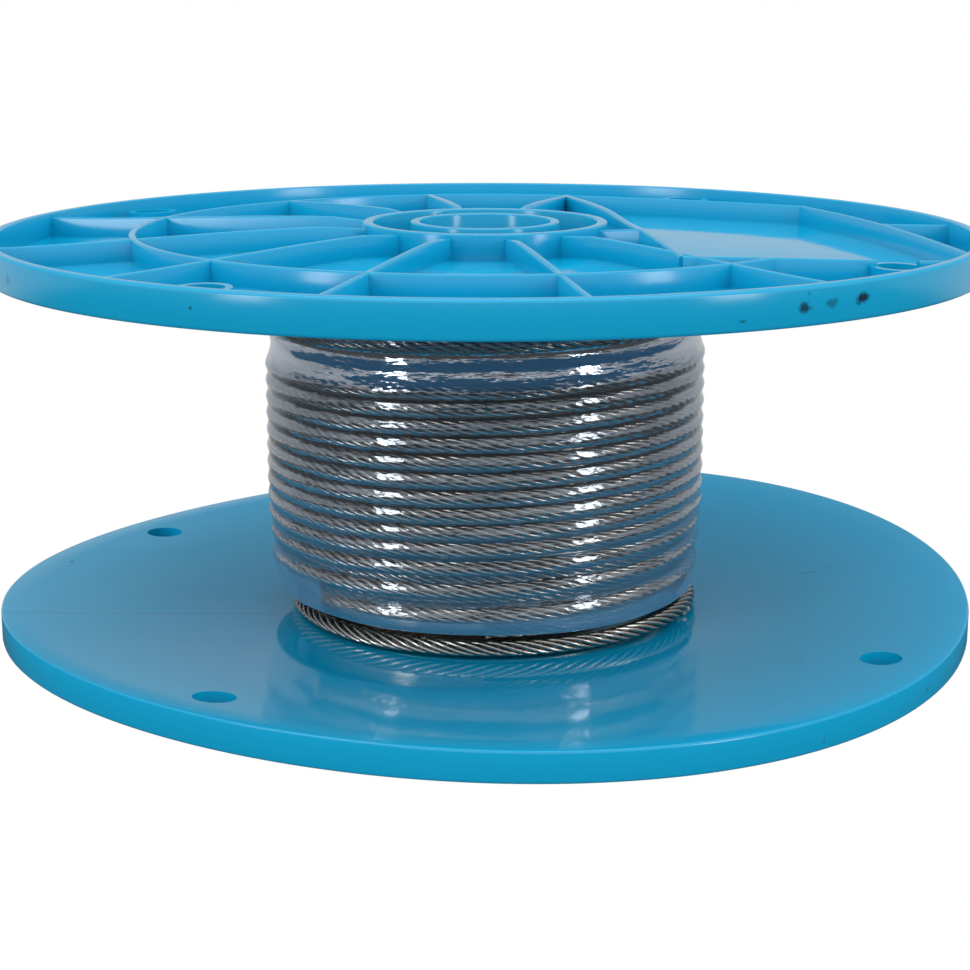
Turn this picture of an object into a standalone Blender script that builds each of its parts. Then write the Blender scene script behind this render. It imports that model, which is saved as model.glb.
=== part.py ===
"""Reel of wire rope: moulded plastic spool, wound rope and a clear shrink film.

Metres, +Z up, standing on the lower hub ring at z = 0, the spool's axis on Z.
"""
import math

import bmesh
import bpy

# The spool, sizes in metres.
FLANGE_R = 0.105            # radius of both flanges
BARREL_R = 0.0261           # outside of the barrel and of its ring on each face
BARREL_WALL = 0.0022
BORE_R = 0.0140             # spindle hole
BORE_WALL = 0.0019
LOW_RIM_H = 0.0064          # height of the lower flange's rim
TOP_RIM_H = 0.0072          # height of the upper flange's rim
INNER_LOW_Z = LOW_RIM_H     # inner face of the lower flange, before its bow
INNER_TOP_Z = 0.0831        # inner face of the upper flange, before its bow
WEB_T = 0.0020              # thickness of a flange between its ribs
RIM_T = 0.0024
RIB_T = 0.0016
RIB_BELOW_RIM = 0.0009      # ribs stop this far short of the rim's edge
HUB_WEB_T = 0.0020          # disc at half height between bore tube and barrel
LOW_BOW = 0.0054            # lower flange: rim stands this much higher than its hub
TOP_BOW = 0.0023            # upper flange: its middle bulges this far above its rim
HUB_DROP = 0.0008           # and the barrel holds the hub ring back by this much
HUB_DROP_SPAN = 0.12        # share of the way to the rim in which that fades out
WARP_FROM_R = 0.050         # outside this radius the lower flange is warped as well
WARP_EVEN = 0.00078         # heights of the warp at the rim: all round,
WARP_RIGHT = 0.00102        # tilted up to the right,
WARP_BACK = 0.00096         # tilted up to the back,
WARP_TWIST = 0.00242        # and twisted like a saddle
WARP_POWER = 1.5
BEND_RINGS = (0.034, 0.044, 0.056, 0.068, 0.082, 0.094)   # rings of points that let the webs bend
MID_RING_R = 0.0745
HOLE_R = 0.0042
BOSS_R = 0.0056
BOSS_BELOW_RIM = 0.0019
HOLE_CIRCLE_R = 0.0935
HOLE_ANGLES = (57.5, 147.5, 237.5, 327.5)
LONG_RIBS = (163.5, 196.0, 226.0, 253.3, 280.5, 308.0)     # degrees, hub ring to rim
SHORT_RIBS = (129.0, 100.7, 74.0)                          # hub ring to mid ring
PANEL_RIB = (336.5, 0.0352)                                # hub ring to the panel's wall
HUB_RIB = 114.0                                            # bore tube to barrel
MID_RING_ENDS = (74, 317)                                  # where the mid ring meets the panel
SPOOL_STEPS = 72

# Walls round the rib-free label panel, on the flange plan, and the short rib beyond it.
PANEL_LEFT = ((0.0200, 0.0700), (0.0250, 0.0420), (0.0290, 0.0150), (0.0318, -0.0080), (0.0374, -0.0520))
PANEL_NEAR = ((0.0374, -0.0520), (0.0600, -0.0500), (0.0913, -0.0487))
PANEL_RIGHT = ((0.0754, 0.0520), (0.0850, 0.0215), (0.0918, -0.0125), (0.0956, -0.0405))
PANEL_FAR = ((0.0200, 0.0700), (0.0540, 0.0600), (0.0754, 0.0520))
SIDE_RIB = ((0.0868, 0.0122), (0.1028, 0.0136))

# The rope and the film.
GAP = 0.0003                # clearance between touching pieces
ROPE_D = 0.0036
WIND_R = 0.0473             # outside of the outer layer of rope
LAYER_STEP = 0.00346        # radial step from layer to layer
LAYERS = 6
ROPE_PITCH = 0.00356        # rise per turn
LOOSE_TURN_DROP = 0.0027    # the uncovered lowest turn lies this far inside the outer layer
BARE_Z = 0.0672             # the outer layer leaves out the turns round this height,
BARE_HALF = 0.0028          # up to this far above and below it
WIND_STEPS = 48
FILM_T = 0.0003
FILM_LOW_Z = 0.0132
FILM_TUCK = 0.0004          # the lower edge of the film is drawn in this far,
FILM_TUCK_H = 0.0010        # over this height


def clear_scene():
    """Remove every object of the start-up scene."""
    for obj in list(bpy.data.objects):
        bpy.data.objects.remove(obj)


def new_collection(name):
    """Return a new collection linked to the scene."""
    group = bpy.data.collections.new(name)
    bpy.context.scene.collection.children.link(group)
    return group


def material(name, rgb, roughness, metallic=0.0, alpha=1.0):
    """Return a Principled material."""
    mat = bpy.data.materials.new(name)
    mat.use_nodes = True
    shader = mat.node_tree.nodes["Principled BSDF"]
    shader.inputs["Base Color"].default_value = (*rgb, 1.0)
    shader.inputs["Roughness"].default_value = roughness
    shader.inputs["Metallic"].default_value = metallic
    shader.inputs["Alpha"].default_value = alpha
    return mat


def polar(radius, degrees):
    """Return the plan point at a radius and azimuth."""
    turn = math.radians(degrees)
    return (radius * math.cos(turn), radius * math.sin(turn))


def turned(name, profile, steps, group):
    """Return a closed (r, z) profile turned about Z by a Screw modifier."""
    mesh = bpy.data.meshes.new(name)
    count = len(profile)
    edges = [(i, (i + 1) % count) for i in range(count)]
    mesh.from_pydata([(r, 0.0, z) for r, z in profile], edges, [])
    obj = bpy.data.objects.new(name, mesh)
    group.objects.link(obj)
    screw = obj.modifiers.new("turn", "SCREW")
    screw.axis = "Z"
    screw.steps = steps
    screw.render_steps = steps
    screw.use_merge_vertices = True
    screw.merge_threshold = 0.00001
    return obj


def prism(name, outline, low_z, high_z, group):
    """Return a closed prism over a plan outline."""
    mesh = bpy.data.meshes.new(name)
    bm = bmesh.new()
    base = bm.faces.new([bm.verts.new((x, y, low_z)) for x, y in outline])
    raised = bmesh.ops.extrude_face_region(bm, geom=[base])["geom"]
    for item in raised:
        if isinstance(item, bmesh.types.BMVert):
            item.co.z = high_z
    bmesh.ops.recalc_face_normals(bm, faces=bm.faces)
    bm.to_mesh(mesh)
    bm.free()
    obj = bpy.data.objects.new(name, mesh)
    group.objects.link(obj)
    return obj


def wall_outline(points, thickness):
    """Return the outline of a wall of even thickness along an open path."""
    half = thickness / 2
    left, right = [], []
    for i, (x, y) in enumerate(points):
        ax, ay = points[max(i - 1, 0)]
        bx, by = points[min(i + 1, len(points) - 1)]
        length = math.hypot(bx - ax, by - ay)
        nx, ny = -(by - ay) / length, (bx - ax) / length
        left.append((x + nx * half, y + ny * half))
        right.append((x - nx * half, y - ny * half))
    return left + right[::-1]


def rib_paths():
    """Return the plan paths of all ribs of one flange."""
    ring_mid = BARREL_R - BARREL_WALL / 2
    rim_mid = FLANGE_R - RIM_T / 2
    paths = [[polar(ring_mid, a), polar(rim_mid, a)] for a in LONG_RIBS]
    paths += [[polar(ring_mid, a), polar(MID_RING_R, a)] for a in SHORT_RIBS]
    start, end = MID_RING_ENDS
    steps = 40
    paths.append([polar(MID_RING_R, start + (end - start) * i / steps) for i in range(steps + 1)])
    paths.append([polar(ring_mid, PANEL_RIB[0]), polar(PANEL_RIB[1], PANEL_RIB[0])])
    paths += [list(wall) for wall in (PANEL_LEFT, PANEL_NEAR, PANEL_RIGHT, PANEL_FAR, SIDE_RIB)]
    return paths


def round_outline(radius, degrees, size):
    """Return the outline of a circle centred at a radius and azimuth."""
    cx, cy = polar(radius, degrees)
    return [(cx + size * math.cos(t), cy + size * math.sin(t)) for t in circle_turns(20)]


def flange_additions(prefix, root_z, edge_z, group):
    """Add the ribs and hole bosses of one flange, from its web to its open edge."""
    way = 1.0 if edge_z > root_z else -1.0
    rib_z, boss_z = edge_z - way * RIB_BELOW_RIM, edge_z - way * BOSS_BELOW_RIM
    for i, path in enumerate(rib_paths()):
        outline = wall_outline(path, RIB_T)
        prism(f"{prefix}_rib_{i}", outline, min(root_z, rib_z), max(root_z, rib_z), group)
    for i, angle in enumerate(HOLE_ANGLES):
        outline = round_outline(HOLE_CIRCLE_R, angle, BOSS_R)
        prism(f"{prefix}_boss_{i}", outline, min(root_z, boss_z), max(root_z, boss_z), group)


def circle_turns(count):
    """Return evenly spaced angles of a full circle, in radians."""
    return [2 * math.pi * i / count for i in range(count)]


def spool_profile():
    """Return the spool's (r, z) profile without ribs."""
    bore_out = BORE_R + BORE_WALL
    tube_in = BARREL_R - BARREL_WALL
    top = INNER_TOP_Z + TOP_RIM_H
    middle = top / 2
    rim_in = FLANGE_R - RIM_T
    outward = list(BEND_RINGS)
    inward = outward[::-1]
    return [
        (BORE_R, top), (bore_out, top), (bore_out, middle + HUB_WEB_T / 2),
        (tube_in, middle + HUB_WEB_T / 2), (tube_in, top), (BARREL_R, top),
        (BARREL_R, INNER_TOP_Z + WEB_T), *[(r, INNER_TOP_Z + WEB_T) for r in outward],
        (rim_in, INNER_TOP_Z + WEB_T), (rim_in, top), (FLANGE_R, top), (FLANGE_R, INNER_TOP_Z),
        *[(r, INNER_TOP_Z) for r in inward], (BARREL_R, INNER_TOP_Z),
        (BARREL_R, INNER_LOW_Z), *[(r, INNER_LOW_Z) for r in outward], (FLANGE_R, INNER_LOW_Z),
        (FLANGE_R, 0.0), (rim_in, 0.0), (rim_in, INNER_LOW_Z - WEB_T),
        *[(r, INNER_LOW_Z - WEB_T) for r in inward], (BARREL_R, INNER_LOW_Z - WEB_T), (BARREL_R, 0.0),
        (tube_in, 0.0), (tube_in, middle - HUB_WEB_T / 2), (bore_out, middle - HUB_WEB_T / 2),
        (bore_out, 0.0), (BORE_R, 0.0),
    ]


def way_out(radius):
    """Return how far a radius lies from the barrel (0) to the rim (1)."""
    return min(max((radius - BARREL_R) / (FLANGE_R - BARREL_R), 0.0), 1.0)


def low_lift(radius, turn=None):
    """Return how far the lower flange is lifted: its bow, and its warp at an azimuth in radians."""
    lift = LOW_BOW * way_out(radius)
    past = (radius - WARP_FROM_R) / (FLANGE_R - WARP_FROM_R)
    if turn is None or past <= 0.0:
        return lift
    warp = WARP_EVEN + WARP_RIGHT * math.cos(turn) + WARP_BACK * math.sin(turn)
    return lift + (warp + WARP_TWIST * math.sin(2 * turn)) * min(past, 1.0) ** WARP_POWER


def top_lift(radius):
    """Return how far the upper flange is lifted: it bulges between its hub and its rim."""
    out = way_out(radius)
    return TOP_BOW * (1.0 - out * out) ** 2 - HUB_DROP * max(0.0, 1.0 - out / HUB_DROP_SPAN)


def bend(mesh):
    """Bend both flat flanges into the used reel's shape."""
    for vert in mesh.vertices:
        radius = math.hypot(vert.co.x, vert.co.y)
        if vert.co.z < INNER_LOW_Z + 0.001:
            vert.co.z += low_lift(radius, math.atan2(vert.co.y, vert.co.x))
        elif vert.co.z > INNER_TOP_Z - 0.001:
            vert.co.z += top_lift(radius)


def combine(obj, name, operation, tools):
    """Give an object an exact Boolean with a whole collection of tools."""
    step = obj.modifiers.new(name, "BOOLEAN")
    step.operation = operation
    step.operand_type = "COLLECTION"
    step.collection = tools
    step.solver = "EXACT"


def make_spool(group, adds, cuts):
    """Build the one moulded spool."""
    obj = turned("spool", spool_profile(), SPOOL_STEPS, group)
    top = INNER_TOP_Z + TOP_RIM_H
    flange_additions("top", INNER_TOP_Z + WEB_T / 2, top, adds)
    flange_additions("low", INNER_LOW_Z - WEB_T / 2, 0.0, adds)
    path = [polar(BORE_R + BORE_WALL / 2, HUB_RIB), polar(BARREL_R - BARREL_WALL / 2, HUB_RIB)]
    prism("hub_rib", wall_outline(path, RIB_T), RIB_BELOW_RIM, top - RIB_BELOW_RIM, adds)
    for i, angle in enumerate(HOLE_ANGLES):
        outline = round_outline(HOLE_CIRCLE_R, angle, HOLE_R)
        prism(f"low_hole_{i}", outline, -0.002, INNER_LOW_Z + 0.002, cuts)
        prism(f"top_hole_{i}", outline, INNER_TOP_Z - 0.002, top + 0.002, cuts)
    combine(obj, "ribs", "UNION", adds)
    combine(obj, "holes", "DIFFERENCE", cuts)
    bpy.context.view_layer.update()
    solid = bpy.data.meshes.new_from_object(obj.evaluated_get(bpy.context.evaluated_depsgraph_get()))
    obj.modifiers.clear()
    obj.data = solid
    bend(solid)
    return obj


def low_face_z(radius):
    """Return the height of the lower flange's inner face under the winding."""
    return INNER_LOW_Z + low_lift(radius)


def top_face_z(radius):
    """Return the height of the upper flange's inner face above the winding."""
    return INNER_TOP_Z + top_lift(radius)


def end_scallops(face_z, inward):
    """Return the (r, z) points of the layers on one end of the winding, from the bore out."""
    points = []
    inner = BARREL_R + GAP
    step = (WIND_R - LOOSE_TURN_DROP - inner) / (LAYERS - 1)
    for i in range(LAYERS - 1):
        start = inner + i * step
        middle = start + step / 2
        face = face_z(middle)
        points += [(start + 0.0006, face + inward * 0.0009), (middle - 0.0008, face + inward * (GAP + 0.0001)),
                   (middle + 0.0008, face + inward * (GAP + 0.0001))]
    return points


def wind_profile():
    """Return the (r, z) profile of the winding, its turns showing as scallops."""
    inner = BARREL_R + GAP
    loose_r = WIND_R - LOOSE_TURN_DROP
    loose_z = low_face_z(loose_r) + GAP + ROPE_D / 2
    points = [(inner, top_face_z(inner) - 0.0012)] + end_scallops(top_face_z, -1.0)
    centre = top_face_z(WIND_R) - GAP - ROPE_D / 2
    while centre > loose_z + ROPE_D * 0.8:
        crest = WIND_R - (LAYER_STEP if abs(centre - BARE_Z) < BARE_HALF else 0.0)
        points += [(crest - 0.0009, centre + ROPE_PITCH / 2 - 0.0001), (crest, centre + 0.0009),
                   (crest, centre - 0.0009)]
        centre -= ROPE_PITCH
    points += [(WIND_R - 0.0012, centre + ROPE_PITCH / 2), (loose_r - 0.0008, loose_z + 0.0016),
               (loose_r, loose_z + 0.0008), (loose_r, loose_z - 0.0008),
               (loose_r - 0.0012, loose_z - 0.0017)]
    lower = end_scallops(low_face_z, 1.0)
    return points + lower[::-1] + [(inner, low_face_z(inner) + 0.0011)]


def film_profile():
    """Return the (r, z) profile of the film sleeve, drawn in a little at its lower edge."""
    inside = WIND_R + GAP
    top_z = top_face_z(inside) - GAP
    tuck_z = FILM_LOW_Z + FILM_TUCK_H
    return [(inside, top_z), (inside + FILM_T, top_z), (inside + FILM_T, tuck_z),
            (inside + FILM_T - FILM_TUCK, FILM_LOW_Z), (inside - FILM_TUCK, FILM_LOW_Z), (inside, tuck_z)]


def main():
    """Build the reel of wire rope."""
    clear_scene()
    reel = new_collection("wire_rope_reel")
    adds = new_collection("spool_additions")
    cuts = new_collection("spool_cutters")
    spool = make_spool(reel, adds, cuts)
    rope = turned("wire_rope", wind_profile(), WIND_STEPS, reel)
    film = turned("shrink_film", film_profile(), WIND_STEPS, reel)
    spool.data.materials.append(material("blue_plastic", (0.012, 0.29, 0.52), 0.25))
    rope.data.materials.append(material("rope_steel", (0.42, 0.42, 0.41), 0.35, metallic=1.0))
    film.data.materials.append(material("clear_film", (0.85, 0.87, 0.90), 0.12, alpha=0.3))
    for tool in list(adds.objects) + list(cuts.objects):
        tool.hide_render = True
        tool.display_type = "WIRE"


main()
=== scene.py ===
"""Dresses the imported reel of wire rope: moulded spool, laid rope and shrink film."""

import logging
import math
from dataclasses import dataclass, field
from enum import Enum

import bmesh
import bpy
import numpy as np
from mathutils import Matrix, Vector

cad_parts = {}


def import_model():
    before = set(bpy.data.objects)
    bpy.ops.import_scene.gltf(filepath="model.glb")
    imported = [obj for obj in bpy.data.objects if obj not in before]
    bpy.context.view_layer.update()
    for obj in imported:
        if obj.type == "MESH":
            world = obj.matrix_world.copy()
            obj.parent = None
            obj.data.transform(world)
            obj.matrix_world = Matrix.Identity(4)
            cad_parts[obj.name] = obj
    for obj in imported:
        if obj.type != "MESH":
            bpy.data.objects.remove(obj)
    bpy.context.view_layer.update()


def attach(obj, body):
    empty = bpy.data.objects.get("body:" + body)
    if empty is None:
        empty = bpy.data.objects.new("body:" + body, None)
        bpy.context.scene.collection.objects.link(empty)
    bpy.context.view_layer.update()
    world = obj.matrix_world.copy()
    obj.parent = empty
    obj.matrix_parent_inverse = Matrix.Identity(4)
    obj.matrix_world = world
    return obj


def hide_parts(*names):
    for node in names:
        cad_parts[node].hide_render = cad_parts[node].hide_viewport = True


LOG = logging.getLogger("reel")

Point2 = tuple[float, float]
Point3 = tuple[float, float, float]

FLANGE_R = 0.105


class NormalMode(Enum):
    """How a swept curve's frame is found."""

    LEVEL = "Z_UP"


def linear(code: str) -> tuple[float, float, float, float]:
    """Turn an sRGB hex colour into linear RGBA.

    Args:
        code: Six hex digits.

    Returns:
        The colour in linear light with alpha 1.
    """
    parts = [int(code[i:i + 2], 16) / 255 for i in (0, 2, 4)]
    lin = [c / 12.92 if c <= 0.04045 else ((c + 0.055) / 1.055) ** 2.4 for c in parts]
    return (lin[0], lin[1], lin[2], 1.0)


def add(tree: bpy.types.NodeTree, kind: str, links: dict | None = None, **settings) -> bpy.types.Node:
    """Add one node with its settings and what feeds its inputs.

    Args:
        tree: The node tree.
        kind: The node's type name.
        links: Input name or index to a socket or a constant.
        settings: Attributes of the node.

    Returns:
        The new node.
    """
    node = tree.nodes.new(kind)
    for name, value in settings.items():
        setattr(node, name, value)
    for key, value in (links or {}).items():
        socket = node.inputs[key]
        if isinstance(value, bpy.types.NodeSocket):
            tree.links.new(value, socket)
        else:
            socket.default_value = value
    return node


def maths(tree: bpy.types.NodeTree, operation: str, *values, **settings) -> bpy.types.NodeSocket:
    """Add a Math node on sockets or constants and return its result."""
    return add(tree, "ShaderNodeMath", dict(enumerate(values)), operation=operation, **settings).outputs[0]


def ranged(tree: bpy.types.NodeTree, value: bpy.types.NodeSocket, start: float = 0.0, end: float = 1.0,
           low=0.0, high=1.0) -> bpy.types.NodeSocket:
    """Map a value from start..end to low..high, held at both ends, and return the result."""
    sizes = {"Value": value, "From Min": start, "From Max": end, "To Min": low, "To Max": high}
    return add(tree, "ShaderNodeMapRange", sizes).outputs[0]


def polar(radius: float, degrees: float) -> Point2:
    """Return the plan point at a radius and azimuth."""
    turn = math.radians(degrees)
    return (radius * math.cos(turn), radius * math.sin(turn))


def mesh_object(name: str, verts: list[Point3] | np.ndarray, faces: list) -> bpy.types.Object:
    """Make a mesh object at the origin, linked to the scene.

    Args:
        name: Name of the object.
        verts: Vertex places in metres.
        faces: Vertex indices of each face.

    Returns:
        The new object.
    """
    mesh = bpy.data.meshes.new(name)
    mesh.from_pydata([tuple(v) for v in verts], [], faces)
    mesh.update()
    obj = bpy.data.objects.new(name, mesh)
    bpy.context.scene.collection.objects.link(obj)
    return obj


def recalculated(obj: bpy.types.Object) -> bpy.types.Object:
    """Turn all faces of a closed mesh outwards."""
    bm = bmesh.new()
    bm.from_mesh(obj.data)
    bmesh.ops.recalc_face_normals(bm, faces=bm.faces)
    bm.to_mesh(obj.data)
    bm.free()
    return obj


def smooth(obj: bpy.types.Object, degrees: float) -> None:
    """Shade a mesh smooth, keeping edges sharper than an angle."""
    count = len(obj.data.polygons)
    obj.data.polygons.foreach_set("use_smooth", np.ones(count, dtype=bool))
    obj.data.set_sharp_from_angle(angle=math.radians(degrees))


def evaluated(obj: bpy.types.Object) -> bpy.types.Object:
    """Replace an object's mesh by its evaluated one and drop the modifiers."""
    bpy.context.view_layer.update()
    graph = bpy.context.evaluated_depsgraph_get()
    result = bpy.data.meshes.new_from_object(obj.evaluated_get(graph))
    obj.modifiers.clear()
    obj.data = result
    return obj


def rounded(profile: list[tuple[float, float, float]], steps: int = 3) -> list[Point2]:
    """Round the corners of a closed profile.

    Args:
        profile: Points (r, z, corner radius), in order.
        steps: Segments in each rounded corner.

    Returns:
        The points of the rounded profile.
    """
    out: list[Point2] = []
    count = len(profile)
    for i, (r, z, radius) in enumerate(profile):
        here = Vector((r, z))
        if radius <= 0:
            out.append((r, z))
            continue
        back = (Vector(profile[i - 1][:2]) - here).normalized() * radius
        ahead = (Vector(profile[(i + 1) % count][:2]) - here).normalized() * radius
        centre = here + back + ahead
        for k in range(steps + 1):
            turn = math.pi / 2 * k / steps
            at = centre - ahead * math.cos(turn) - back * math.sin(turn)
            out.append((at.x, at.y))
    return out


def refined(profile: list[Point2], longest: float) -> list[Point2]:
    """Split the level stretches of a closed profile so that they can bend."""
    out: list[Point2] = []
    for (r0, z0), (r1, z1) in zip(profile, profile[1:] + profile[:1]):
        out.append((r0, z0))
        parts = int(abs(r1 - r0) // longest)
        for k in range(1, parts + 1):
            share = k / (parts + 1)
            out.append((r0 + (r1 - r0) * share, z0 + (z1 - z0) * share))
    return out


def turned(name: str, profile: list[Point2], steps: int) -> bpy.types.Object:
    """Turn a closed (r, z) profile about Z into a closed mesh."""
    count = len(profile)
    verts = []
    for k in range(steps):
        c, s = math.cos(2 * math.pi * k / steps), math.sin(2 * math.pi * k / steps)
        verts += [(r * c, r * s, z) for r, z in profile]
    faces = []
    for k in range(steps):
        a, b = k * count, ((k + 1) % steps) * count
        for i in range(count):
            j = (i + 1) % count
            faces.append((a + i, a + j, b + j, b + i))
    return recalculated(mesh_object(name, verts, faces))


def spaced(path: list[Point2], longest: float) -> list[Point2]:
    """Split an open path into steps no longer than a length."""
    out = [path[0]]
    for (x0, y0), (x1, y1) in zip(path, path[1:]):
        parts = max(1, math.ceil(math.hypot(x1 - x0, y1 - y0) / longest))
        out += [(x0 + (x1 - x0) * k / parts, y0 + (y1 - y0) * k / parts) for k in range(1, parts + 1)]
    return out


def eased(path: list[Point2], rounds: int = 2) -> list[Point2]:
    """Round an open path's bends by cutting its corners."""
    for _ in range(rounds):
        out = [path[0]]
        for (x0, y0), (x1, y1) in zip(path, path[1:]):
            out += [(0.75 * x0 + 0.25 * x1, 0.75 * y0 + 0.25 * y1),
                    (0.25 * x0 + 0.75 * x1, 0.25 * y0 + 0.75 * y1)]
        path = out + [path[-1]]
    return path


@dataclass(frozen=True)
class Mark:
    """A rubbed or soiled place, or a spot of painted shade: its centre and half sizes on its surface in
    metres, and its darkness.
    """

    across: float
    up: float
    half_across: float
    half_up: float
    depth: float

    @classmethod
    def on_rim(cls, azimuth: float, z: float, half_across: float, half_up: float, depth: float) -> "Mark":
        """Place a mark on a rim's outer side by azimuth in degrees and millimetres."""
        along = math.radians(azimuth - 360) * FLANGE_R
        return cls(along, z / 1000, half_across / 1000, half_up / 1000, depth)

    def mask(self, tree: bpy.types.NodeTree, flat: bpy.types.NodeSocket,
             ragged: bpy.types.NodeSocket) -> bpy.types.NodeSocket:
        """Build the mark's mask.

        Args:
            tree: The material's tree.
            flat: Place on the flattened surface, in metres.
            ragged: Noise that breaks the outline.

        Returns:
            A socket that is the mark's darkness inside and 0 outside.
        """
        centre, half = (self.across, self.up, 0.0), (self.half_across, self.half_up, 1.0)
        away = add(tree, "ShaderNodeVectorMath", {0: flat, 1: centre}, operation="SUBTRACT")
        sized = add(tree, "ShaderNodeVectorMath", {0: away.outputs[0], 1: half},
                    operation="DIVIDE")
        size = add(tree, "ShaderNodeVectorMath", {0: sized.outputs[0]}, operation="LENGTH").outputs["Value"]
        broken = maths(tree, "ADD", size, ragged)
        return ranged(tree, broken, 1.55, 0.75, high=self.depth)


@dataclass(frozen=True)
class MouldedPlastic:
    """Moulded plastic: even colour, mirror-like faces, duller rims and rib sides, a few rubbed marks, and one
    faint spot of painted shade on the lower flange's inner face.
    """

    body: str = "0493BE"
    # Dark tone of the rubbed marks and scratches, also used for the one spot of painted shade.
    scuff_and_shade: str = "121C33"
    ior: float = 1.49
    face_roughness: float = 0.07
    dull_roughness: float = 0.18
    rim_r: float = 0.1036
    split_azimuth: float = 194.4
    rim_marks: tuple[Mark, ...] = (
        Mark.on_rim(301.7, 86.6, 1.3, 0.8, 0.85), Mark.on_rim(305.1, 86.9, 1.3, 0.7, 0.5),
        Mark.on_rim(309.2, 87.1, 1.4, 0.9, 0.95), Mark.on_rim(294.7, 85.1, 0.6, 0.25, 0.6),
        Mark.on_rim(302.2, 88.9, 0.35, 0.3, 0.35), Mark.on_rim(241.3, 87.0, 0.28, 0.3, 0.7),
        Mark.on_rim(210.7, 86.5, 0.9, 0.9, 0.4), Mark.on_rim(325.2, 7.0, 0.6, 0.5, 0.4),
        Mark.on_rim(306.4, 5.7, 0.35, 0.6, 0.3))
    # The last face mark is painted shade: a faint dark spot on the lower flange's face, not a mark on the
    # plastic.
    face_marks_and_shade: tuple[Mark, ...] = (
        Mark(0.0735, 0.0113, 0.0026, 0.0004, 0.35), Mark(0.0818, 0.0134, 0.0045, 0.0003, 0.2),
        Mark(-0.0958, 0.0205, 0.0005, 0.0005, 0.8), Mark(0.0617, -0.0494, 0.0018, 0.0020, 0.12))

    def darkest(self, tree: bpy.types.NodeTree, masks: list[bpy.types.NodeSocket]) -> bpy.types.NodeSocket:
        """Join masks, the darkest one winning."""
        joined = masks[0]
        for mask in masks[1:]:
            joined = maths(tree, "MAXIMUM", joined, mask)
        return joined

    def make(self) -> bpy.types.Material:
        """Build the material.

        Returns:
            Blue plastic with glossy faces, duller rims and rib sides, placed rubbed marks, a spot of painted
            shade and a weld line.
        """
        mat = bpy.data.materials.new("moulded_polypropylene_blue")
        mat.use_nodes = True
        tree = mat.node_tree
        shader = tree.nodes["Principled BSDF"]
        place = add(tree, "ShaderNodeTexCoord").outputs["Object"]
        part = add(tree, "ShaderNodeSeparateXYZ", {0: place}).outputs
        plan = add(tree, "ShaderNodeCombineXYZ", {"X": part["X"], "Y": part["Y"]}).outputs[0]
        radius = add(tree, "ShaderNodeVectorMath", {0: plan}, operation="LENGTH").outputs["Value"]
        outer = ranged(tree, radius, self.rim_r - 0.0002, self.rim_r + 0.0002)
        # The outline of every mark is broken by noise of about 1 mm.
        grain = add(tree, "ShaderNodeTexNoise", {"Vector": place, "Scale": 900.0, "Detail": 3.0})
        ragged = ranged(tree, grain.outputs["Fac"], 0.3, 0.7, low=-0.35, high=0.65)
        # Black rubbed marks on the outer sides of the rims, placed along the unrolled rim.
        angle = maths(tree, "ARCTAN2", part["Y"], part["X"])
        along = maths(tree, "MULTIPLY", angle, FLANGE_R)
        unrolled = add(tree, "ShaderNodeCombineXYZ", {"X": along, "Y": part["Z"]}).outputs[0]
        rubbed = self.darkest(tree, [m.mask(tree, unrolled, ragged) for m in self.rim_marks])
        on_rim = maths(tree, "MULTIPLY", rubbed, outer)
        # Faint scratches and a speck on the inner face of the lower flange, and one faint round spot of
        # painted shade at its front right.
        specks_and_shade = self.darkest(tree, [m.mask(tree, plan, ragged) for m in self.face_marks_and_shade])
        above = maths(tree, "GREATER_THAN", part["Z"], 0.0093)
        below = maths(tree, "LESS_THAN", part["Z"], 0.02)
        layer = maths(tree, "MULTIPLY", above, below)
        on_face = maths(tree, "MULTIPLY", specks_and_shade, layer)
        # The weld line, where the melt met: a hair-fine dark line across the left of the lower flange.
        turn = math.radians(self.split_azimuth)
        off = add(tree, "ShaderNodeVectorMath", {0: plan, 1: (math.sin(turn), -math.cos(turn), 0.0)},
                  operation="DOT_PRODUCT").outputs["Value"]
        near = maths(tree, "ABSOLUTE", off)
        hair = ranged(tree, near, 0.00030, 0.00012, high=0.40)
        left = maths(tree, "LESS_THAN", part["X"], -0.030)
        half = maths(tree, "MULTIPLY", hair, left)
        weld = maths(tree, "MULTIPLY", half, below)
        # The dark tone comes from all marks at once: real rubbed marks, scratches and the weld line, plus the
        # one spot of painted shade.
        marks_and_shade = self.darkest(tree, [on_rim, on_face, weld])
        tone = add(tree, "ShaderNodeMix", {"Factor": marks_and_shade, 6: linear(self.body), 7: linear(self.scuff_and_shade)},
                   data_type="RGBA")
        tree.links.new(tone.outputs[2], shader.inputs["Base Color"])
        # Level faces are glossy; rib sides and rims are duller, which keeps their reflections soft.
        normal = add(tree, "ShaderNodeTexCoord").outputs["Normal"]
        level = add(tree, "ShaderNodeSeparateXYZ", {0: normal}).outputs["Z"]
        steep = maths(tree, "ABSOLUTE", level)
        side = maths(tree, "LESS_THAN", steep, 0.7)
        dull = self.darkest(tree, [outer, side])
        gloss = ranged(tree, dull, low=self.face_roughness, high=self.dull_roughness)
        tree.links.new(gloss, shader.inputs["Roughness"])
        # Sink and flow waves of the moulded skin, about 25 mm apart, that bend the reflections.
        wave = add(tree, "ShaderNodeTexNoise", {"Vector": place, "Scale": 38.0, "Detail": 2.0})
        bump = add(tree, "ShaderNodeBump", {"Height": wave.outputs["Fac"], "Strength": 0.25,
                                            "Distance": 0.0006})
        tree.links.new(bump.outputs[0], shader.inputs["Normal"])
        shader.inputs["IOR"].default_value = self.ior
        return mat


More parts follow.
